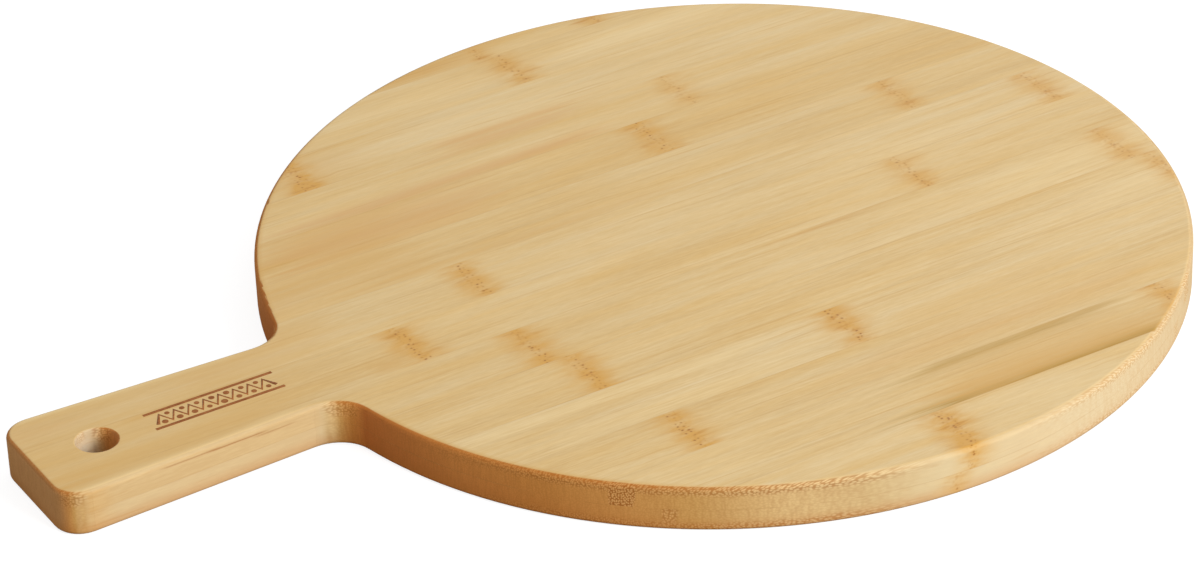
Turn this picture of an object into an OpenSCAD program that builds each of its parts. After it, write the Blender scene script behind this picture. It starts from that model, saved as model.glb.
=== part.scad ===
// Round bamboo serving board with a flared paddle handle, pressed from two layers of flat strips.
// Millimetres. +Z is up, the origin is the disc's centre on the underside, the handle points along -X.

/* [Board] */
// Diameter of the round board
disc_d = 300; // [240:5:340]
// Thickness of one layer of strips, the board has two
layer_t = 7.7; // [6:0.1:12]
// Radius of the rounded edges all round, top and bottom
edge_r = 1.6; // [0.6:0.1:3]

/* [Handle] */
// Length that the handle stands out from the disc
handle_l = 95; // [70:1:160]
// Width of the handle at its end
handle_end_w = 48; // [42:1:64]
// Width of the handle where its axis leaves the disc
handle_neck_w = 40; // [32:1:56]
// Radius of the two outer corners
corner_r = 9; // [4:0.5:16]
// Radius of the hollow where each side of the handle meets the disc
junction_r = 12; // [6:0.5:24]

/* [Hanging hole] */
// Diameter of the hole
hole_d = 13; // [8:0.5:18]
// Distance from the end of the handle to the middle of the hole
hole_inset = 22.5; // [16:0.5:36]
// Radius of the rounded rims of the hole
hole_edge_r = 0.6; // [0.3:0.1:1.5]

/* [Strips] */
// Strips on each side of the board, between those of the handle and the outermost one
side_strips = 5; // [3:1:7]
// Width of the outermost strip on the far side, as a share of the disc's diameter
far_rim_share = 0.038; // [0.02:0.001:0.08]
// Width of the outermost strip on the near side, as a share of the disc's diameter
near_rim_share = 0.074; // [0.02:0.001:0.08]
// Distance from the handle's widest point to the seam that passes outside it, on the far side
outer_lap = 3.6; // [1:0.1:8]
// Distance from the handle's neck to the seam that passes inside it, on the near side
inner_lap = 3.2; // [2:0.1:8]

/* [Hidden] */
// Length by which cuts run past what they cut
overrun = 1;
// Height of the step left where a round meets a side, so that the two surfaces stay distinct
blend_step = 0.03;
// Facets of a full turn, on the disc and on everything smaller
disc_fn = 288;
$fn = 48;

board_t = 2 * layer_t;
disc_r = disc_d / 2;
tip_x = -disc_r - handle_l;
hole_x = tip_x + hole_inset;

// Each side of the handle is a straight line that leans by side_angle, with its normal side_n
side_angle = atan((handle_end_w - handle_neck_w) / 2 / handle_l);
side_n = [sin(side_angle), cos(side_angle)];
side_end = [tip_x, handle_end_w / 2];
side_reach = side_end * side_n;

// Centre of the outer corner: its radius away from the end and from the side
corner_x = tip_x + corner_r;
corner_c = [corner_x, (side_reach - corner_r - corner_x * side_n.x) / side_n.y];

// Centre of the hollow: its radius away from the side and from the disc
hollow_reach = side_reach + junction_r;
hollow_along = -sqrt(pow(disc_r + junction_r, 2) - pow(hollow_reach, 2));
junction_c = [
    hollow_reach * side_n.x + hollow_along * side_n.y,
    hollow_reach * side_n.y - hollow_along * side_n.x
];
// Where the line from there, square to the side, meets the centre line
junction_foot = junction_c - side_n * junction_c.y / side_n.y;

// Seams of the face layer from the far side to the near one: those at the rim follow the disc,
// those at the handle follow the handle, and the strips between share out the rest evenly
far_rim_seam = disc_r - far_rim_share * disc_d;
near_rim_seam = near_rim_share * disc_d - disc_r;
far_handle_seam = handle_end_w / 2 + outer_lap;
near_handle_seam = inner_lap - handle_neck_w / 2;
function between(from, to, i) = from + (to - from) * i / side_strips;
face_seams = concat(
    [for (i = [0 : side_strips]) between(far_rim_seam, far_handle_seam, i)],
    [(far_handle_seam + near_handle_seam) / 2],
    [for (i = [0 : side_strips]) between(near_handle_seam, near_rim_seam, i)]
);
// The back layer is the same panel turned over, so its seams lie between those of the face
back_seams = [for (i = [len(face_seams) - 1 : -1 : 0]) -face_seams[i]];

// A layer's strips are the bands between these lines, the outer two past the rim
function lines(seams) = concat([disc_r + overrun], seams, [-disc_r - overrun]);
face_lines = lines(face_seams);
back_lines = lines(back_seams);

function numbered(name, i) = str(name, i < 9 ? "0" : "", i + 1);
function names(name, lines) = [for (i = [0 : len(lines) - 2]) numbered(name, i)];
face_names = names("face_strip_", face_lines);
back_names = names("back_strip_", back_lines);

// Tones of split bamboo, which the strips take in turn
tones = [[0.86, 0.74, 0.53], [0.83, 0.70, 0.48], [0.88, 0.77, 0.57], [0.81, 0.68, 0.46], [0.85, 0.72, 0.50]];

// Half section of the board out to reach, with its two outer corners rounded
module edge_profile(reach) {
    difference() {
        square([reach, board_t]);
        for (top = [0, 1])
            translate([reach - edge_r, top * board_t])
                mirror([0, top])
                    difference() {
                        translate([0, -overrun])
                            square(edge_r + overrun);
                        translate([0, edge_r])
                            circle(r = edge_r);
                    }
    }
}

// Half section of a round cutter of radius r that leaves rims rounded by ease on both faces
module waist_profile(r, ease) {
    difference() {
        translate([0, -overrun])
            square([r + ease, board_t + 2 * overrun]);
        translate([r, ease])
            square([ease + overrun, board_t - 2 * ease]);
        for (z = [ease, board_t - ease])
            translate([r + ease, z])
                circle(r = ease);
    }
}

module disc() {
    rotate_extrude($fn = disc_fn)
        edge_profile(disc_r);
}

// Slab with one rounded side, which passes through point and faces along the given bearing
module slab(point, bearing, depth, length) {
    translate(point)
        rotate([0, 0, bearing])
            translate([-depth, 0, 0])
                rotate([90, 0, 0])
                    linear_extrude(length, center = true)
                        edge_profile(depth);
}

// What the rounding of an outer corner takes off
module corner_waste() {
    span = 2 * corner_r;
    translate(corner_c)
        difference() {
            translate([0, 0, -overrun])
                linear_extrude(board_t + 2 * overrun)
                    polygon([[0, 0], span * side_n, [-span, span], [-span, 0]]);
            rotate_extrude()
                edge_profile(corner_r - blend_step);
        }
}

// The near side of the handle mirrors the far one
module both_sides() {
    children();
    mirror([0, 1, 0])
        children();
}

// Everything that lies inside the handle's far side
module side_slab() {
    slab(side_end, 90 - side_angle, handle_end_w + handle_neck_w, 4 * handle_l);
}

module handle() {
    difference() {
        intersection() {
            side_slab();
            mirror([0, 1, 0])
                side_slab();
            slab([tip_x, 0], 180, handle_l + handle_neck_w / 2, 2 * (handle_end_w + handle_neck_w));
        }
        both_sides()
            corner_waste();
    }
}

// Web in the angle between the handle's side and the disc, cut to a hollow
module junction() {
    difference() {
        linear_extrude(board_t)
            polygon([[0, 0], junction_c, junction_foot]);
        translate(junction_c)
            rotate_extrude()
                waist_profile(junction_r - blend_step, edge_r);
    }
}

module hanging_hole() {
    translate([hole_x, 0, 0])
        rotate_extrude()
            waist_profile(hole_d / 2, hole_edge_r);
}

// The whole board in one piece, before it is parted into strips
module blank() {
    difference() {
        union() {
            disc();
            handle();
            both_sides()
                junction();
        }
        hanging_hole();
    }
}

// Strip i of a layer whose underside is at z, between two of its lines
module strip(lines, i, z) {
    color(tones[i % len(tones)])
        intersection() {
            blank();
            translate([tip_x - overrun, lines[i + 1], z])
                cube([disc_r - tip_x + 2 * overrun, lines[i] - lines[i + 1], layer_t + overrun]);
        }
}

module face_strip(i) {
    strip(face_lines, i, layer_t);
}

module back_strip(i) {
    strip(back_lines, i, -overrun);
}

for (i = [0 : len(face_names) - 1])
    face_strip(i);
for (i = [0 : len(back_names) - 1])
    back_strip(i);
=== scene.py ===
import math

import bpy
from mathutils import Matrix, Vector


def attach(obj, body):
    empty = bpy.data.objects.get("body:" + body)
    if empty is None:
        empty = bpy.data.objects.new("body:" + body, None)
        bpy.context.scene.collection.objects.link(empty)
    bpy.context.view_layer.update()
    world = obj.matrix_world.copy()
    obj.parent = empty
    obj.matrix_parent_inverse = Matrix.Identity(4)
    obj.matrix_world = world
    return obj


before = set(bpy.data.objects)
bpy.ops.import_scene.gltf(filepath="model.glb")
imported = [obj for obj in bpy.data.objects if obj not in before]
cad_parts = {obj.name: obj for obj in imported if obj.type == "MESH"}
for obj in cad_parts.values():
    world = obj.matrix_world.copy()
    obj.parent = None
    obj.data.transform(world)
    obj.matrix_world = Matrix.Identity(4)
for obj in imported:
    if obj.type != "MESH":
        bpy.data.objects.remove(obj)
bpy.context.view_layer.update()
mm = 0.001
print("frame:", len(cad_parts), "strips of bamboo")

camera = {
    "azimuth": -29.778,  # degrees round the board, 0 looks along +Y
    "elevation": 31.728,
    "roll": -2.288,
    "distance": 1.5673,
    "target": (-0.03953, 0.01121, 0.0),
    "lens": 146.81,
    "sensor": 36,  # its width in mm
    "clip": 0.05,
}


def placeCamera(settings):
    azimuth, elevation, roll = (math.radians(settings[k]) for k in ("azimuth", "elevation", "roll"))
    back = Vector((
        math.sin(azimuth) * math.cos(elevation),
        -math.cos(azimuth) * math.cos(elevation),
        math.sin(elevation),
    ))
    across = Vector((0, 0, 1)).cross(back).normalized()
    up = back.cross(across)
    right = across * math.cos(roll) + up * math.sin(roll)
    top = up * math.cos(roll) - across * math.sin(roll)
    turn = Matrix((right, top, back)).transposed().to_4x4()
    data = bpy.data.cameras.new("camera")
    data.sensor_fit = "HORIZONTAL"
    data.sensor_width = settings["sensor"]
    data.lens = settings["lens"]
    data.clip_start = settings["clip"]
    view = bpy.data.objects.new("camera", data)
    view.matrix_world = Matrix.Translation(Vector(settings["target"]) + back * settings["distance"]) @ turn
    bpy.context.scene.collection.objects.link(view)
    bpy.context.scene.camera = view


placeCamera(camera)
bpy.context.scene.view_settings.view_transform = "Standard"
print("camera placed")


def linear(colour):  # from 0..255 as a paint program shows it, by the sRGB curve
    return tuple((c / 255 / 12.92) if c <= 10 else ((c / 255 + 0.055) / 1.055) ** 2.4 for c in colour) + (1.0,)


def socketOf(sockets, name):  # by its identifier, or else by its label or number
    known = {socket.identifier: socket for socket in sockets}
    return known[name] if name in known else sockets[name]


def fillRamp(ramp, stops):
    while len(ramp.elements) > 1:
        ramp.elements.remove(ramp.elements[-1])
    for i, (place, colour) in enumerate(stops):
        stop = ramp.elements[0] if i == 0 else ramp.elements.new(place)
        stop.position = place
        stop.color = colour


class Val:
    # a value on its way through a node tree, that takes part in Python sums
    def __init__(self, nodes, socket):
        self.nodes, self.socket = nodes, socket

    def maths(self, operation, *values):
        return self.nodes.add("ShaderNodeMath", {"operation": operation}, values)

    def __add__(self, other):
        return self.maths("ADD", self, other)

    def __sub__(self, other):
        return self.maths("SUBTRACT", self, other)

    def __rsub__(self, other):
        return self.maths("SUBTRACT", other, self)

    def __mul__(self, other):
        return self.maths("MULTIPLY", self, other)

    def __truediv__(self, other):
        return self.maths("DIVIDE", self, other)

    def __mod__(self, other):
        return self.maths("MODULO", self, other)

    def __abs__(self):
        return self.maths("ABSOLUTE", self)

    __radd__, __rmul__ = __add__, __mul__

    def most(self, other):
        return self.maths("MAXIMUM", self, other)

    def least(self, other):
        return self.maths("MINIMUM", self, other)

    def squared(self):
        return self * self

    def root(self):
        return self.maths("SQRT", self)

    def bell(self, width):  # 1 at 0, and 1 / e at the width
        return self.maths("POWER", 0.36788, (self / width).squared())

    def between(self, low, high, start=0.0, end=1.0):  # a smooth change from start to end
        return self.nodes.add(
            "ShaderNodeMapRange",
            {"interpolation_type": "SMOOTHSTEP"},
            {"Value": self, "From Min": low, "From Max": high, "To Min": start, "To Max": end},
        )


class Nodes:
    # a node tree in the making, laid out in rows
    def __init__(self, tree):
        self.tree = tree
        self.tree.nodes.clear()
        self.count = 0

    def add(self, kind, settings=None, values=(), output=0):
        node = self.tree.nodes.new(kind)
        node.location = (220 * (self.count % 12), -260 * (self.count // 12))
        self.count += 1
        for name, value in (settings or {}).items():
            if name == "stops":
                fillRamp(node.color_ramp, value)
            else:
                setattr(node, name, value)
        pairs = values.items() if isinstance(values, dict) else enumerate(values)
        for name, value in pairs:
            socket = socketOf(node.inputs, name)
            for one in value if isinstance(value, list) else [value]:
                if isinstance(one, Val):
                    self.tree.links.new(one.socket, socket)
                else:
                    socket.default_value = one
        return Val(self, socketOf(node.outputs, output)) if node.outputs else None

    def vector(self, x=0.0, y=0.0, z=0.0):
        return self.add("ShaderNodeCombineXYZ", {}, {"X": x, "Y": y, "Z": z})


class Shader(Nodes):
    def __init__(self, owner):  # the owner is a new material or world
        owner.use_nodes = True
        super().__init__(owner.node_tree)
        self.owner = owner

    def mix(self, factor, first, second):
        return self.add(
            "ShaderNodeMix",
            {"data_type": "RGBA"},
            {"Factor_Float": factor, "A_Color": first, "B_Color": second},
            "Result_Color",
        )

    def inMm(self):  # place on the board
        place = self.add("ShaderNodeTexCoord", output="Object")
        return self.add("ShaderNodeVectorMath", {"operation": "SCALE"}, {0: place, "Scale": 1 / mm})

    def moved(self, vector, scale, shift):
        return self.add("ShaderNodeMapping", {}, {"Vector": vector, "Location": shift, "Scale": scale})

    def noise(self, vector, scale, shift, detail=2.0, rough=0.5):  # scale is in cycles per mm
        return self.add(
            "ShaderNodeTexNoise",
            {"noise_dimensions": "3D"},
            {"Vector": self.moved(vector, scale, shift), "Scale": 1.0, "Detail": detail, "Roughness": rough},
            "Fac",
        )

    def coat(self, colour, rough, normal, ior):
        return self.add(
            "ShaderNodeBsdfPrincipled", {},
            {"Base Color": colour, "Roughness": rough, "Normal": normal, "IOR": ior},
        )

    def bump(self, strength, distance, height):
        return self.add("ShaderNodeBump", {}, {"Strength": strength, "Distance": distance, "Height": height})

    def finish(self, surface, kind="ShaderNodeOutputMaterial"):
        self.add(kind, {}, {"Surface": surface})
        return self.owner


bamboo = {
    "layer": 7.7,  # mm, the board has two
    "seeds": {"face_strip": 1, "back_strip": 21},
    # The outline in mm: radii, where along the grain the centres of the smaller rounds are, how far the handle
    # reaches, half its width at its end, and how its sides lean
    "outline": {
        "disc": 150, "hollow": 12, "hollowAt": -158.73, "corner": 9, "cornerAt": -236,
        "hole": 6.5, "holeAt": -222.5, "holeZone": (7.4, 8.4),
        "handleReach": 245, "handleHalf": 24.0, "handleLean": 0.0421, "sideFacing": 0.042,
    },
    # The tones, as a paint program shows them
    "tones": {
        "pale": (229, 201, 149),
        "plain": (217, 185, 128),
        "deep": (203, 165, 103),
        "haze": (210, 160, 80),  # round a node of the cane
        "dot": (134, 68, 4),  # bundle ends at a node
        "smear": (188, 130, 52),
        "hairline": (192, 142, 64),
        "seam": (166, 114, 54),
        "olive": (162, 122, 18),
        "golden": (208, 162, 90),
        "rosy": (211, 163, 104),
        "cream": (236, 210, 158),
        "handleTop": (206, 162, 90),
        "handleEnd": (215, 157, 95),
        "handleSide": (208, 174, 122),
        "handleCorner": (204, 146, 62),
        "holeWall": (206, 184, 150),
        # painted light deep in the hole
        "paintedHoleLight": (250, 236, 208),
        "lowRim": (184, 96, 32),
        "paintedEdgeShade": (150, 84, 26),
        "easedEdge": (200, 173, 129),
        "brownEdge": (190, 116, 44),  # the thin line where a cut end meets the face
        "gapDark": (160, 92, 26),  # between the bundles of a cut end
        "gapPale": (196, 148, 88),
        "cellBrown": (226, 164, 92),  # the bundles of a cut end
        "cellPale": (238, 212, 164),
    },
    # The rim by the way it faces, from towards the handle to away from it; its browner, darker end towards the
    # handle is partly painted shade
    "rim": [
        (0.0, (202, 115, 50)), (0.05, (226, 147, 70)), (0.1, (212, 143, 66)), (0.15, (216, 154, 80)),
        (0.21, (211, 162, 91)), (0.29, (225, 189, 129)), (0.37, (214, 184, 130)), (0.45, (216, 194, 151)),
        (0.54, (215, 190, 147)), (0.63, (219, 198, 158)), (0.85, (217, 192, 149)), (1.0, (205, 170, 119)),
    ],
    # What changes along the grain: from one place to another, in mm, and from one level to another
    "zones": {
        "whole": (-260, 120, -1.0, 1.0),
        "handleTop": (-180, -135, 0.3, 0.0),
        "handleEnd": (-232, -200, 1.0, 0.0),
        "handleSide": (-170, -125, 1.0, 0.0),
        "handleSideBack": (-170, -125, 0.6, 0.0),
        "handleCorner": (-238, -226, 1.0, 0.0),
        "lowRim": (-232, -200, 0.1, 0.4),
        "paintedEdgeHighlight": (-172, -152, 1.0, 0.0),
        "nearEdge": (-105, -65, 1.0, 0.0),
        "coarse": (-140, -128, 2.0, 0.0),
        "coarseBack": (-150, -125, -3.0, 0.0),
        "gaps": (-150, -120, 0.75, 1.0),
        "dots": (0, 110, 1.0, 0.5),
    },
    # What changes with the way a side faces, in the same order
    "ways": {
        "side": (-0.8, -0.3, 0.1, 0.17),
        "handleEnd": (-0.95, -0.6, 1.0, 0.0),
        "holeWall": (-0.9, 0.3, 0.0, 1.0),
        "handleCorner": (-0.6, -0.3, 0.0, 1.0),
        "lowRim": (-0.95, -0.45, 1.0, 0.0),
        "paintedEdgeShade": (-0.7, -0.35, 1.0, 0.0),
        "easedEdge": (-0.25, 0.1, 0.0, 1.0),
        "coarse": (-0.5, -0.2, 1.0, 0.0),
        "coarseFrom": (-0.97, -0.8, 0.0, 1.0),
        "coarseTo": (0.45, 0.9, 1.0, 0.0),
        "gaps": (-0.3, -0.05, 0.0, 1.0),
        "cells": (-0.9, -0.1, 0.0, 1.0),
        "brownEdge": (-0.75, -0.3, 1.0, 0.0),
        "paintedUnderShade": (-0.1, 0.6, 1.0, 0.25),
        "lowEdge": (0.0, 0.5, 1.0, 0.2),
    },
    # How strong each wash of a tone is
    "strengths": {
        "hairline": 0.28, "paintedEdgeHighlight": 0.75, "nearEdge": 0.5, "handleCorner": 0.4, "paintedEdgeShade": 0.4,
        "easedEdge": 0.65, "columns": 0.16, "streaks": 0.22, "longHairline": 0.2, "glue": 0.3,
        "paintedUnderShade": 0.5, "halo": 0.3,
    },
    # What grows with something else: how much there is of it at least, and how much more
    "growing": {
        "seam": (0.04, 0.28),
        "gaps": (0.14, 0.46),
        "cells": (0.06, 0.3),
        "brownEdge": (0.1, 0.35),
        "hidden": (0.35, 0.65),
        "haze": (0.3, 0.7),
        "smears": (0.15, 0.45),
        "relief": (0.15, 0.7),
        "dots": (0.08, 0.12),  # their size
    },
    # Noises about 0: cycles per mm along, across and through the board, number, detail and roughness
    "waves": {
        "swirl": ((0.1, 0.2, 0.2), 1, 2.0, 0.5),
        "drift": ((0.006, 0.03, 0.03), 2, 1.0, 0.5),
        "bend": ((0.09, 0.12, 0.12), 3, 1.0, 0.5),
        "broad": ((0.005, 0.1, 0.1), 4, 2.0, 0.5),
        "middling": ((0.018, 0.42, 0.42), 5, 1.0, 0.5),
        "fine": ((0.085, 1.2, 1.2), 6, 1.0, 0.5),
        "hair": ((0.3, 2.4, 2.4), 7, 1.0, 0.5),
        "cloud": ((0.012, 0.05, 0.05), 8, 1.0, 0.5),
        "fray": ((0.02, 0.5, 0.5), 9, 2.0, 0.5),
        "tint": ((0.018, 0.2, 0.2), 16, 3.0, 0.65),
        "lines": ((0.016, 1.35, 1.35), 19, 1.0, 0.5),
    },
    # Noises that make patches, with the two levels between which a patch begins and is full
    "patches": {
        "hairlines": ((0.018, 0.95, 0.95), 10, 1.0, 0.5, 0.62, 0.78),
        "mottle": ((0.09, 0.22, 0.22), 11, 3.0, 0.6, 0.3, 0.64),
        "smears": ((0.09, 0.6, 0.6), 12, 2.0, 0.5, 0.5, 0.72),
        "seamBreak": ((0.02, 0.001, 0.02), 14, 2.0, 0.5, 0.45, 0.75),
        "columns": ((0.05, 1.7, 0.2), 17, 1.0, 0.5, 0.35, 0.7),
        "glueBreak": ((0.04, 0.04, 0.04), 18, 1.0, 0.5, 0.4, 0.65),
    },
    "dots": {"number": 13, "apart": (1.8, 1.6), "strength": 0.62},
    "cells": {"number": 15, "scale": (2.1, 1.45, 1.0)},
    "random": 0.8,  # how unevenly dots and cells lie
    "node": {"stray": 3.0, "bend": 4.0, "row": 1.9, "swell": 2.4},  # the row of dots is so many mm wide
    "wander": {"drift": 2.5, "bend": 2.6},  # of the grain, in mm
    # How much each of these tells in the tone of the face
    "tell": {
        "pale": 0.3, "broad": 0.6, "middling": 0.32, "cloud": 0.5, "fine": 0.5, "hair": 0.42, "along": 0.08,
    },
    "lined": 0.1,  # how lined a strip is that doesn't say so itself
    "keen": (-70, 130, 1.0, 0.7),  # the near side is planed a little rougher
    "warmth": 1.4,  # how far the two tints of a strip are from its own
    "warmer": (1.0, -2.5, -8.0),  # what warmth adds to red, green and blue
    "fade": 26.0,  # mm in which a stain fades at its ends
    "frayed": 60.0,  # mm by which its ends fray
    "relief": {"fine": 0.5, "hair": 0.3, "hairlines": 0.3},
    "rough": {"plain": 0.52, "fine": 0.15, "side": 0.28, "haze": 0.05},
    "ior": 1.33,
    "bump": (0.3, 0.0001),  # strength, and distance in metres
}

# The strips of the face from the far side on: how pale each is and how warm, both from -1 to 1,
# its nodes, each with place along the grain, half width, strength and lean, how dark their dots are,
# how lined it is, its stains, each with two ends along the grain, middle line, half width, tone and strength,
# and where it has one, its skin, the band across the grain whose bundles are the coarsest, with its strength.
# Scratches on the handle's side have two ends, height, half width and strength
faceStrips = [
    {"pale": -0.2, "warm": 0.5, "dotty": 0.35, "nodes": [(38, 6, 1, 0), (-9, 4, 0.7, 0)],
     "stains": [(-90, 2, 144, 5.5, "golden", 0.75), (-14, -4, 139.5, 0.9, "smear", 0.75),
                (29, 46, 143.6, 1.5, "smear", 0.85)]},
    {"pale": 0.18, "warm": 0.1, "dotty": 0.4, "nodes": [(-4, 6.5, 0.85, -0.02)],
     "stains": [(-90, -10, 127.5, 8.5, "cream", 0.25), (4, 100, 127, 9, "cream", 0.4)]},
    {"pale": 0.26, "warm": -0.15, "nodes": [(-99, 6, 1.5, 0)],
     "stains": [(-60, 14, 96, 2, "rosy", 0.6), (-130, -66, 105, 12, "golden", 0.3),
                (-40, 110, 105.5, 6.5, "cream", 0.1)]},
    {"pale": 0.05, "warm": 0.1, "dotty": 0.4, "nodes": [(35, 6, 0.62, 0)],
     "stains": [(-70, 10, 91, 3.2, "rosy", 0.6), (-132, 8, 74.5, 3, "rosy", 0.7)]},
    {"pale": -0.35, "warm": 0.5, "nodes": [(11, 6, 1, 0)],
     "stains": [(-142, -40, 60, 10, "rosy", 0.5), (-150, -80, 61, 12, "golden", 0.25),
                (-140, -85, 53, 3, "golden", 0.3)]},
    {"pale": 0.0, "warm": 0.05, "dotty": 0.4, "nodes": [(93.5, 6, 0.75, 0)],
     "stains": [(-120, 10, 30.2, 2.2, "golden", 0.35), (-190, -76, 40, 13, "golden", 0.4)]},
    {"pale": 0.25, "warm": -0.2, "nodes": [(-83, 5.5, 0.9, 0.03), (136, 6, 0.75, 0)],
     "stains": [(-260, -215, 14, 4, "rosy", 0.3), (-196, -122, 17, 9, "golden", 0.4)]},
    {"pale": 0.08, "warm": 0.12, "nodes": [(-118, 6.5, 1.05, -0.02), (69, 6, 0.8, 0)],
     "stains": [(-262, -150, -14, 3.2, "golden", 0.4), (-217, -196, 3.6, 1.6, "golden", 0.5),
                (-140, -122, -13.4, 3.4, "golden", 0.6)]},
    {"pale": 0.12, "warm": 0.05, "nodes": [(-87, 6.5, 1.05, 0.02), (134, 6, 0.75, 0)],
     "stains": [(0, 62, -18.1, 0.9, "smear", 0.35), (-262, -215, -18.4, 1.2, "golden", 0.5),
                (-272, -164, -19, 4, "golden", 0.3), (72, 200, -27, 12, "cream", 0.35)],
     "scratches": [(-198, -174, 13.2, 0.3, 0.6), (-214, -190, 13.5, 0.3, 0.5), (-182, -164, 12.3, 0.25, 0.4)]},
    {"pale": 0.1, "warm": 0.05, "lined": 0.4, "nodes": [(-80.5, 6, 1.15, 0), (139, 5, 0.8, 0)],
     "stains": [(96, 200, -48, 11, "cream", 0.3)]},
    {"pale": 0.15, "warm": -0.2, "lined": 0.4, "nodes": [(0, 6.5, 1, 0)],
     "stains": [(-150, -14, -65.2, 2.8, "cream", 0.5), (-120, -10, -79, 4, "cream", 0.4),
                (0, 96, -79, 6, "golden", 0.18)]},
    {"pale": -0.1, "warm": 0.1, "lined": 0.4, "nodes": [(-72, 6, 1.05, 0)],
     "stains": [(-30, 110, -96.5, 6.5, "rosy", 0.2), (0, 90, -87, 5, "golden", 0.14)]},
    {"pale": 0.08, "warm": -0.1, "lined": 0.4, "nodes": [(93, 6.5, 1.0, 0)],
     "stains": [(-14, 88, -107.2, 2.9, "olive", 0.5), (-22, 104, -126.9, 2.7, "olive", 0.95),
                (-10, 100, -125, 6.0, "golden", 0.75), (-10, 60, -119, 3, "golden", 0.25),
                (14, 112, -127.3, 0.9, "olive", 0.6), (-6, 90, -117, 12, "golden", 0.3),
                (-120, -44, -118, 10, "cream", 0.22)],
     "skin": (-111.5, -105.6, 1.5)},
    {"pale": 0.3, "warm": -0.1, "nodes": [(-5, 6.5, 1.3, 0.1)],
     "stains": [(10, 80, -138, 8, "cream", 0.2)]},
]
faceSeams = [151, 138.6, 116.4, 94.2, 72, 49.8, 27.6, 5.4, -16.8, -39, -61.2, -83.4, -105.6, -127.8, -151]

# The back is the same panel turned over, with other canes in it
backStrips = [
    {"pale": 0.2, "warm": 0.0, "nodes": [(22, 4.5, 0.8, 0)], "stains": [(-40, 40, 130, 2, "golden", 0.3)]},
    {"pale": -0.1, "warm": 0.2, "nodes": [(-52, 5, 0.9, 0)], "stains": [(-20, 90, 109, 3, "rosy", 0.3)]},
    {"pale": 0.3, "warm": -0.1, "nodes": [(61, 5, 0.8, 0.02)], "stains": [(-90, 30, 92, 6, "cream", 0.3)]},
    {"pale": 0.0, "warm": 0.1, "nodes": [(-95, 5.5, 0.9, 0), (118, 4.5, 0.8, 0)], "stains": []},
    {"pale": 0.2, "warm": 0.0, "nodes": [(8, 5, 0.9, -0.02)], "stains": [(30, 130, 41.8, 2.2, "olive", 0.4)]},
    {"pale": -0.1, "warm": 0.2, "nodes": [(-196, 5, 0.8, 0), (84, 5, 0.9, 0)],
     "stains": [(-150, 20, 25, 5, "rosy", 0.3)]},
    {"pale": 0.25, "warm": -0.1, "nodes": [(-31, 5.5, 0.9, 0)], "stains": [(-240, -150, 0, 4, "golden", 0.3)]},
    {"pale": 0.0, "warm": 0.1, "nodes": [(-126, 6, 0.9, 0.02), (101, 4.5, 0.8, 0)], "stains": []},
    {"pale": 0.15, "warm": 0.0, "nodes": [(47, 5, 0.9, 0)], "stains": [(-120, 20, -46, 2, "golden", 0.4)]},
    {"pale": -0.15, "warm": 0.2, "nodes": [(-70, 5, 0.9, 0)], "stains": [(0, 130, -62, 6, "rosy", 0.25)]},
    {"pale": 0.2, "warm": 0.0, "nodes": [(29, 5, 0.8, 0)], "stains": [(-100, 10, -85, 5, "cream", 0.3)]},
    {"pale": 0.1, "warm": 0.1, "nodes": [(-44, 5.5, 1.0, 0)], "stains": [(-10, 90, -95.2, 0.8, "olive", 0.6)]},
    {"pale": 0.25, "warm": 0.0, "nodes": [(73, 5, 0.8, 0)], "stains": [], "skin": (-119.6, -116.4, 0.8)},
    {"pale": 0.0, "warm": 0.1, "nodes": [(-12, 5, 0.9, 0)], "stains": []},
]
backSeams = [-y for y in reversed(faceSeams)]


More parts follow.
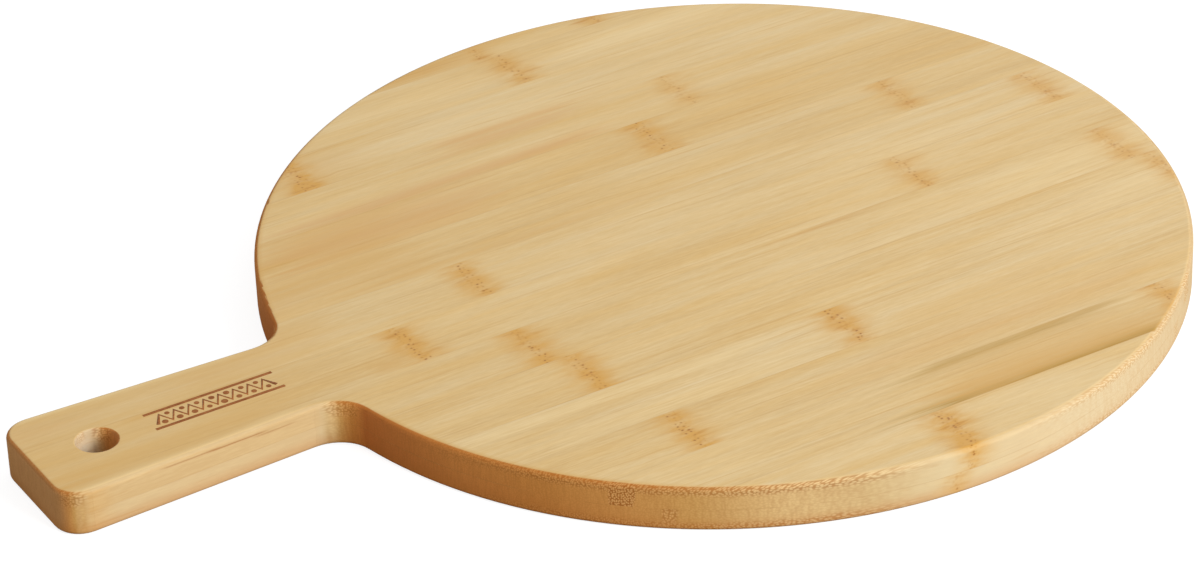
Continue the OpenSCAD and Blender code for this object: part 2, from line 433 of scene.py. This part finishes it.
class StripShader(Shader):
    # the bamboo of one strip between its far and near seams, with what the parts of its material share
    def __init__(self, name, strip, far, near, isFace, seed):
        super().__init__(bpy.data.materials.new(name))
        self.strip, self.far, self.near, self.isFace, self.seed = strip, far, near, isFace, seed
        self.place = self.inMm()
        self.x, self.y, self.z = self.parts(self.place, "XYZ")
        self.normalY, self.normalZ = self.parts(self.add("ShaderNodeTexCoord", output="Normal"), "YZ")
        self.swirl = self.wave("swirl", self.place)
        self.setFacing(bamboo["outline"])
        self.setNodes()
        self.setGrain()

    def parts(self, vector, axes):
        return (self.add("ShaderNodeSeparateXYZ", {}, [vector], axis) for axis in axes)

    def shift(self, number):  # each strip has a place of its own in each noise
        return (137.1 * self.seed + 31.7 * number, 71.3 * self.seed - 19.9 * number, 53.9 * number)

    def wave(self, name, vector):
        scale, number, detail, rough = bamboo["waves"][name]
        return self.noise(vector, scale, self.shift(number), detail, rough) - 0.5

    def patch(self, name, vector):
        scale, number, detail, rough, low, high = bamboo["patches"][name]
        return self.noise(vector, scale, self.shift(number), detail, rough).between(low, high)

    def voronoi(self, vector, scale, number, output):
        moved = self.moved(vector, scale, self.shift(number))
        return self.add(
            "ShaderNodeTexVoronoi",
            {"voronoi_dimensions": "2D"},
            {"Vector": moved, "Scale": 1.0, "Randomness": bamboo["random"]},
            output,
        )

    def tone(self, name):
        return linear(bamboo["tones"][name])

    def wash(self, colour, name, factor):  # with so much of a tone
        return self.mix(factor, colour, self.tone(name))

    def zone(self, name):
        return self.x.between(*bamboo["zones"][name])

    def way(self, name):
        return self.facing.between(*bamboo["ways"][name])

    def grown(self, name, by):
        least, more = bamboo["growing"][name]
        return least + more * by

    def setFacing(self, outline):
        # the way a side faces goes with its place along the grain: -1 towards the handle, 0 on a long side
        # and 1 away from the handle
        hollow = (outline["hollowAt"] - self.x) / outline["hollow"]
        corner = (self.x - outline["cornerAt"]) / outline["corner"]
        facing = hollow.least(corner).least(outline["sideFacing"]).most(self.x / outline["disc"]).most(-1.0)
        holeX = self.x - outline["holeAt"]
        self.inHole = (holeX.squared() + self.y.squared()).root().between(*outline["holeZone"], 1.0, 0.0)
        self.facing = facing - (holeX / outline["hole"] + facing) * self.inHole
        self.side = (1 - abs(self.normalZ)).between(0.01, self.way("side"))
        self.slant = abs(self.facing).between(0.03, 0.35)

    def setNodes(self):
        # off is the distance past the nearest node along the grain
        node = bamboo["node"]
        middle = (self.far + self.near) / 2
        self.off = None
        for at, width, strength, lean in self.strip["nodes"]:
            one = self.x - at - lean * (self.y - middle) - self.swirl * node["stray"]
            haze = (one - self.swirl * node["bend"]).bell(width) * strength
            row = one.bell(node["row"]) * strength
            swell = one.bell(width * node["swell"]) * strength
            if self.off is None:
                self.off, self.haze, self.row, self.swell = one, haze, row, swell
            else:
                nearer = one.maths("LESS_THAN", abs(one), abs(self.off))
                self.off = self.off + (one - self.off) * nearer
                self.haze = self.haze.most(haze)
                self.row = self.row.most(row)
                self.swell = self.swell.most(swell)

    def setGrain(self):
        # the grain wanders a little, and more beside a node
        wander = bamboo["wander"]
        bend = self.wave("bend", self.place) * self.swell * wander["bend"]
        self.wander = self.wave("drift", self.place) * wander["drift"] + bend
        self.grain = self.vector(self.x, self.y + self.wander, self.z)
        self.broad, self.middling, self.fine, self.hair, self.fray = (
            self.wave(name, self.grain) for name in ("broad", "middling", "fine", "hair", "fray")
        )
        self.hairlines = self.patch("hairlines", self.grain)

    def grainColour(self):
        # a little paler away from the handle, as a painted sheen
        strip, tell = self.strip, bamboo["tell"]
        keen = self.y.between(*bamboo["keen"])
        tone = 0.5 + tell["pale"] * strip["pale"] + self.broad * tell["broad"]
        tone = tone + self.middling * tell["middling"]
        tone = tone + self.wave("cloud", self.place) * tell["cloud"]
        tone = tone + (self.fine * tell["fine"] + self.hair * tell["hair"]) * keen
        # painted sheen: paler along the grain away from the handle
        tone = tone + self.zone("whole") * tell["along"]
        tone = tone + self.wave("lines", self.grain) * strip.get("lined", bamboo["lined"])
        shades = []
        for warm in (strip["warm"] - bamboo["warmth"], strip["warm"] + bamboo["warmth"]):
            stops = []
            for level, name in ((0.0, "deep"), (0.5, "plain"), (1.0, "pale")):
                warmed = [c + more * warm for c, more in zip(bamboo["tones"][name], bamboo["warmer"])]
                stops.append((level, linear(warmed)))
            shades.append(self.add("ShaderNodeValToRGB", {"stops": stops}, [tone]))
        return self.mix(0.5 + self.wave("tint", self.grain) * 1.6 - self.broad * 0.5, *shades)

    def stained(self, colour):
        # stains run with the grain and fray at their ends
        for start, end, line, half, name, strength in self.strip["stains"]:
            fade = min(bamboo["fade"], (end - start) / 2)
            lengthwise = self.x + self.fray * min(bamboo["frayed"], end - start)
            stain = (self.y + self.wander * 0.5 + self.fray * half - line).bell(half)
            stain = stain * lengthwise.between(start, start + fade)
            stain = stain * lengthwise.between(end - fade, end, 1.0, 0.0)
            colour = self.wash(colour, name, stain * strength * (0.85 + self.fray + self.fine))
        return colour

    def faceColour(self, outline):
        x, y, strengths = self.x, self.y, bamboo["strengths"]
        colour = self.stained(self.grainColour())
        # hairlines, bundles that the plane has cut along
        colour = self.wash(colour, "hairline", self.hairlines * strengths["hairline"])
        # the handle is a little more golden, and its eased edge gets a painted highlight, paler cream
        colour = self.wash(colour, "handleTop", self.zone("handleTop"))
        toEdge = outline["handleHalf"] - abs(y) - (x + outline["handleReach"]) * outline["handleLean"]
        # painted highlight: a cream band along the handle's eased edge
        paintedEdgeHighlight = toEdge.between(0.6, 4.2, 1.0, 0.0) * self.zone("paintedEdgeHighlight") * (0.7 + self.fray)
        colour = self.wash(colour, "cream", paintedEdgeHighlight * strengths["paintedEdgeHighlight"])
        # the last millimetres before the edge that faces the handle are more golden too
        nearEdge = (x.squared() + y.squared()).root().between(147.0, 148.9)
        nearEdge = nearEdge * self.zone("nearEdge") * abs(y).between(30, 38)
        colour = self.wash(colour, "golden", nearEdge * strengths["nearEdge"])
        # glue line between two strips
        seam = (self.far - y).least(y - self.near).between(0.05, 0.4, 1.0, 0.0)
        return self.wash(colour, "seam", seam * self.grown("seam", self.patch("seamBreak", self.place)))

    def rimTone(self):
        # cut ends are browner than long grain, and most of all towards the handle, where the brown is partly
        # painted shade
        z, strengths = self.z, bamboo["strengths"]
        stops = [(at, linear(colour)) for at, colour in bamboo["rim"]]
        rim = self.add("ShaderNodeValToRGB", {"stops": stops}, [self.facing * 0.5 + 0.5])
        rim = self.wash(rim, "handleEnd", self.zone("handleEnd") * self.way("handleEnd"))
        longSide = self.zone("handleSide" if self.isFace else "handleSideBack")
        rim = self.wash(rim, "handleSide", longSide * (1 - self.slant))
        # painted light: the hole's wall is paler where it faces away from the handle, and palest deep down
        holeWall = self.mix(z.between(7.0, 13.5), self.tone("paintedHoleLight"), self.tone("holeWall"))
        rim = self.mix(self.inHole * self.way("holeWall"), rim, holeWall)
        corner = self.zone("handleCorner") * self.way("handleCorner")
        rim = self.wash(rim, "handleCorner", corner * strengths["handleCorner"])
        lowDown = z.between(2 * bamboo["layer"], 0.0) * self.way("lowRim") * (1 - self.inHole)
        rim = self.wash(rim, "lowRim", lowDown * self.zone("lowRim"))
        # its upper edge is darker towards the handle, a painted shade on the rounding that turns up to the
        # light, and paler elsewhere
        shaded = self.normalZ.between(0.1, 0.5) * self.way("paintedEdgeShade")
        rim = self.wash(rim, "paintedEdgeShade", shaded * strengths["paintedEdgeShade"])
        eased = self.normalZ.between(0.25, 0.7) * self.way("easedEdge")
        return self.wash(rim, "easedEdge", eased * strengths["easedEdge"])

    def coarseBand(self):
        # the bundles are coarsest just below the face that shows, further down beside the hollow,
        # and on the back they end before it
        if self.isFace:
            below = 2 * bamboo["layer"] - self.z - self.zone("coarse") * self.way("coarse") + self.fray * 1.5
        else:
            below = self.z + self.fray * 1.5 - self.zone("coarseBack")
        coarse = below.between(1.8, 3.8, 1.0, 0.0) * self.way("coarseFrom") * self.way("coarseTo")
        if "skin" in self.strip:
            lower, upper, strength = self.strip["skin"]
            skin = strength * (self.y + self.swirl * 2).between(lower, lower + 0.8)
            coarse = coarse.most(skin * (self.y + self.swirl).between(upper - 0.5, upper + 0.5, 1.0, 0.0))
        return coarse

    def rimColour(self):
        x, z, slant, normalZ, strengths = self.x, self.z, self.slant, self.normalZ, bamboo["strengths"]
        rim = self.rimTone()
        # cut bundles: pale spots in columns, with darker gaps between them
        self.coarse = self.coarseBand()
        cells = bamboo["cells"]
        bundlePlace = self.vector(self.y + self.wander + x * 0.05, z + self.fray * 0.6)
        self.gaps = self.voronoi(bundlePlace, cells["scale"], cells["number"], "Distance").between(0.15, 0.6)
        gapTone = self.mix(self.way("gaps"), self.tone("gapDark"), self.tone("gapPale"))
        cellTone = self.mix(self.way("cells"), self.tone("cellBrown"), self.tone("cellPale"))
        rim = self.mix(self.gaps * slant * self.grown("gaps", self.coarse) * self.zone("gaps"), rim, gapTone)
        rim = self.mix((1 - self.gaps) * slant * self.grown("cells", self.coarse), rim, cellTone)
        rim = self.mix(self.patch("columns", self.grain) * slant * strengths["columns"], rim, gapTone)
        # streaks of the long grain
        streaks = (self.fine + self.middling + self.hair).between(-0.35, 0.45) * (1 - slant)
        rim = self.wash(rim, "cream", streaks * strengths["streaks"])
        rim = self.wash(rim, "smear", self.hairlines * (1 - slant) * strengths["longHairline"])
        # glue line between the layers
        glue = (z - bamboo["layer"]).bell(0.18) * self.patch("glueBreak", self.place)
        rim = self.wash(rim, "seam", glue * strengths["glue"])
        # a thin brown line at the upper edge, and a lower edge browned as painted shade
        brownEdge = normalZ.between(0.45, 0.75) * normalZ.between(0.93, 0.99, 1.0, 0.0) * self.way("brownEdge")
        rim = self.wash(rim, "brownEdge", brownEdge * self.grown("brownEdge", self.gaps))
        # painted shade: the lower rounded edge and the bottom millimetres of the rim are browner
        paintedUnderShade = normalZ.between(-0.85, -0.15, 1.0, 0.0) * self.way("paintedUnderShade")
        paintedUnderShade = paintedUnderShade.most(z.between(0.6, 6.0, 0.75, 0.0) * self.way("lowEdge"))
        rim = self.wash(rim, "brownEdge", paintedUnderShade * strengths["paintedUnderShade"])
        for start, end, height, half, strength in self.strip.get("scratches", []):
            scratch = (z - height + self.fray * 1.2).bell(half)
            scratch = scratch * x.between(start, start + 5) * x.between(end - 5, end, 1.0, 0.0)
            rim = self.wash(rim, "gapDark", scratch * self.normalY.between(-0.9, -0.5, 1.0, 0.0) * strength)
        return rim

    def marked(self, colour):
        # haze and dots at the nodes, which go on down the long grain of the rim
        dots = bamboo["dots"]
        shows = 1 - self.side * self.grown("hidden", self.slant)
        self.haze = self.haze * shows
        row = self.row * shows
        mottle = self.patch("mottle", self.grain)
        colour = self.wash(colour, "haze", self.haze * self.grown("haze", mottle))
        smears = self.patch("smears", self.grain)
        colour = self.wash(colour, "smear", self.haze * smears * self.grown("smears", mottle))
        apartX, apartY = dots["apart"]
        rowPlace = self.vector(self.off / apartX, (self.y + self.z) / apartY)
        spots = self.voronoi(rowPlace, (1, 1, 1), dots["number"], "Distance")
        chance = self.voronoi(rowPlace, (1, 1, 1), dots["number"], "Color")
        chance = self.add("ShaderNodeSeparateColor", {}, [chance], "Red")
        spots = spots / self.grown("dots", chance)
        halo = spots.between(0.8, 3.4, 1.0, 0.0) * row.between(0.15, 0.6)
        colour = self.wash(colour, "smear", halo * bamboo["strengths"]["halo"])
        dark = spots.between(0.5, 1.6, 1.0, 0.0) * row.between(0.3, 0.7) * chance.between(0.3, 0.9)
        dark = dark * self.strip.get("dotty", dots["strength"])
        return self.wash(colour, "dot", dark * self.zone("dots"))

    def make(self):
        colour = self.mix(self.side, self.faceColour(bamboo["outline"]), self.rimColour())
        colour = self.marked(colour)
        relief, matt = bamboo["relief"], bamboo["rough"]
        height = self.fine * relief["fine"] + self.hair * relief["hair"]
        height = height - self.hairlines * relief["hairlines"]
        height = height - self.gaps * self.side * self.slant * self.grown("relief", self.coarse)
        rough = matt["plain"] + self.fine * matt["fine"] + self.side * matt["side"] - self.haze * matt["haze"]
        return self.finish(self.coat(colour, rough, self.bump(*bamboo["bump"], height), bamboo["ior"]))


def dress(prefix, strips, seams, isFace):
    for i, strip in enumerate(strips):
        name = f"{prefix}_{i + 1:02d}"
        shader = StripShader(name, strip, seams[i], seams[i + 1], isFace, bamboo["seeds"][prefix] + i)
        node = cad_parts[name]
        node.data.materials.clear()
        node.data.materials.append(shader.make())


dress("face_strip", faceStrips, faceSeams, True)
dress("back_strip", backStrips, backSeams, False)
print("bamboo on every strip")

burntBand = {
    "middle": (-183.0, -0.5),
    "length": 44.0,
    "width": 9.0,
    "teeth": 8,
    "line": 1.2,
    "dot": 0.98,  # radius
    "dotSides": 14,
    "dotSizes": (0.82, 1.15),  # shares of the radius
    "zigzagReach": 0.27,  # from the middle line, as a share of the width
    "dotReach": 0.22,
    "top": 15.44,
    "depth": 0.14,
    "seed": 4,
    "burnt": (160, 94, 32),
    "charred": (128, 68, 14),
    "rough": 0.6,
    "ior": 1.45,
    "bump": (0.4, 0.0001),  # strength, and distance in metres
}


def burntMaterial(settings):
    s = Shader(bpy.data.materials.new("burntBand"))
    place = s.inMm()
    patches = s.noise(place, (0.5, 0.9, 0.9), (3.0, 8.0, 1.0), 3.0, 0.6)
    fibres = s.noise(place, (0.12, 2.4, 2.4), (9.0, 2.0, 4.0), 2.0)
    char = (patches * 0.6 + fibres * 0.4).between(0.36, 0.66)
    colour = s.mix(char, linear(settings["burnt"]), linear(settings["charred"]))
    rough = settings["rough"] + char * 0.2
    return s.finish(s.coat(colour, rough, s.bump(*settings["bump"], fibres), settings["ior"]))


class Shape(Nodes):
    # a node tree that makes a shape, with a named input for each size
    def __init__(self, name, sizes):
        super().__init__(bpy.data.node_groups.new(name, "GeometryNodeTree"))
        self.keys = {}
        for label, value in sizes.items():
            kind = "NodeSocketInt" if isinstance(value, int) else "NodeSocketFloat"
            socket = self.tree.interface.new_socket(label, in_out="INPUT", socket_type=kind)
            socket.default_value = value
            self.keys[label] = socket.identifier
        self.tree.interface.new_socket("Geometry", in_out="OUTPUT", socket_type="NodeSocketGeometry")
        inputs = self.tree.nodes.new("NodeGroupInput").outputs
        self.sizes = [Val(self, inputs[label]) for label in sizes]

    def row(self, count, first, last):  # points in a row
        return self.add(
            "GeometryNodeMeshLine", {"mode": "END_POINTS"},
            {"Count": count, "Start Location": first, "Offset": last},
        )

    def moved(self, geometry, offset):
        return self.add("GeometryNodeSetPosition", {}, {"Geometry": geometry, "Offset": offset})

    def copies(self, points, instance, scale=(1.0, 1.0, 1.0)):
        values = {"Points": points, "Instance": instance, "Scale": scale}
        return self.add("GeometryNodeInstanceOnPoints", {}, values)

    def finish(self, geometry):
        self.add("NodeGroupOutput", {}, {"Geometry": geometry})


def bandShape(sizes, settings, material):
    t = Shape("burntBand", sizes)
    length, width, line, dot, depth, teeth = t.sizes
    # two long lines
    bar = t.add("GeometryNodeMeshCube", {}, {"Size": t.vector(length, line, depth)})
    bars = t.copies(t.row(2, t.vector(0.0, width * -0.5), t.vector(0.0, width * 0.5)), bar)
    # a zigzag between them, of one line that turns up and down
    steps = teeth * 2.0 + 1.0
    inner = length - line * 3.0
    start, end = inner * -0.5, inner * 0.5
    turn = t.add("GeometryNodeInputIndex") % 2.0 * 2.0 - 1.0
    path = t.row(steps, t.vector(start), t.vector(end))
    path = t.moved(path, t.vector(0.0, turn * (width * settings["zigzagReach"])))
    path = t.add("GeometryNodeMeshToCurve", {}, {"Mesh": path})
    section = t.add("GeometryNodeCurvePrimitiveQuadrilateral", {}, {"Width": line, "Height": depth})
    zigzag = t.add("GeometryNodeCurveToMesh", {}, {"Curve": path, "Profile Curve": section, "Fill Caps": True})
    # a dot in each notch
    step = inner / (teeth * 2.0)
    notches = t.row(steps - 2.0, t.vector(start + step), t.vector(end - step))
    notches = t.moved(notches, t.vector(0.0, turn * (width * settings["dotReach"])))
    discSizes = {"Vertices": settings["dotSides"], "Radius": dot, "Depth": depth}
    disc = t.add("GeometryNodeMeshCylinder", {}, discSizes)
    least, most = settings["dotSizes"]
    chosen = {"Min_001": least, "Max_001": most, "Seed": settings["seed"]}
    swell = t.add("FunctionNodeRandomValue", {"data_type": "FLOAT"}, chosen, 1)
    dots = t.copies(notches, disc, t.vector(swell, swell, 1.0))
    shape = t.add("GeometryNodeJoinGeometry", {}, {"Geometry": [bars, zigzag, dots]})
    shape = t.add("GeometryNodeRealizeInstances", {}, {"Geometry": shape})
    t.finish(t.add("GeometryNodeSetMaterial", {}, {"Geometry": shape, "Material": material}))
    return t


def makeBurntBand(settings):
    sizes = {name.title(): settings[name] * mm for name in ("length", "width", "line", "dot", "depth")}
    sizes["Teeth"] = settings["teeth"]
    shape = bandShape(sizes, settings, burntMaterial(settings))
    start = bpy.data.objects.new("bandStart", bpy.data.meshes.new("bandStart"))
    bpy.context.scene.collection.objects.link(start)
    modifier = start.modifiers.new("band", "NODES")
    modifier.node_group = shape.tree
    for label, value in sizes.items():
        modifier[shape.keys[label]] = value
    shaped = start.evaluated_get(bpy.context.evaluated_depsgraph_get())
    mesh = bpy.data.meshes.new_from_object(shaped)
    bpy.data.objects.remove(start)
    x, y = settings["middle"]
    mesh.transform(Matrix.Translation((x * mm, y * mm, (settings["top"] - settings["depth"] / 2) * mm)))
    mesh.name = "burnt_band"
    band = bpy.data.objects.new("burnt_band", mesh)
    bpy.context.scene.collection.objects.link(band)
    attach(band, "root")
    print("burnt band:", len(mesh.polygons), "faces")


makeBurntBand(burntBand)

studio = {
    "floor": (148, 148, 148),  # as the board sees it
    "glow": 0.86,  # what the camera sees more of on the floor
    "reach": 6.0,  # of the floor each way
    "gap": 0.0002,  # between the floor and the board
    "fill": 0.52,  # the world's light on the object
    "key": {"place": (0.9, -2.6, 1.35), "size": 1.2, "power": 85},
    "back": {"place": (2.0, 1.5, 1.5), "size": 1.4, "power": 10},
}
white = (1, 1, 1, 1)


def lamp(name, place, size, power):
    data = bpy.data.lights.new(name, "AREA")
    data.size = size
    data.energy = power
    light = bpy.data.objects.new(name, data)
    light.matrix_world = Matrix.Translation(place) @ Vector(place).to_track_quat("Z", "Y").to_matrix().to_4x4()
    bpy.context.scene.collection.objects.link(light)


def lightWorld(settings):
    # white to the camera and in gloss, and a plain fill on everything else
    world = bpy.data.worlds.new("studio")
    bpy.context.scene.world = world
    s = Shader(world)
    seen, gloss = (s.add("ShaderNodeLightPath", output=ray) for ray in ("Is Camera Ray", "Is Glossy Ray"))
    levels = {"Value": seen.most(gloss), "To Min": settings["fill"], "To Max": 1.0}
    strength = s.add("ShaderNodeMapRange", {}, levels)
    background = s.add("ShaderNodeBackground", {}, {"Color": white, "Strength": strength})
    s.finish(background, "ShaderNodeOutputWorld")


def layFloor(settings):
    mesh = bpy.data.meshes.new("floor")
    reach = settings["reach"]
    corners = [(x * reach, y * reach, 0) for x, y in ((-1, -1), (1, -1), (1, 1), (-1, 1))]
    mesh.from_pydata(corners, [], [(0, 1, 2, 3)])
    floor = bpy.data.objects.new("floor", mesh)
    bpy.context.scene.collection.objects.link(floor)
    floor.location.z = -settings["gap"]
    s = Shader(bpy.data.materials.new("floor"))
    diffuse = s.add("ShaderNodeBsdfDiffuse", {}, {"Color": linear(settings["floor"])})
    glow = s.add("ShaderNodeEmission", {}, {"Color": white, "Strength": settings["glow"]})
    both = s.add("ShaderNodeAddShader", {}, [diffuse, glow])
    seen = s.add("ShaderNodeLightPath", output="Is Camera Ray")
    mesh.materials.append(s.finish(s.add("ShaderNodeMixShader", {}, [seen, diffuse, both])))


lamp("keyLight", **studio["key"])
lamp("backLight", **studio["back"])
lightWorld(studio)
layFloor(studio)
print("studio lit")
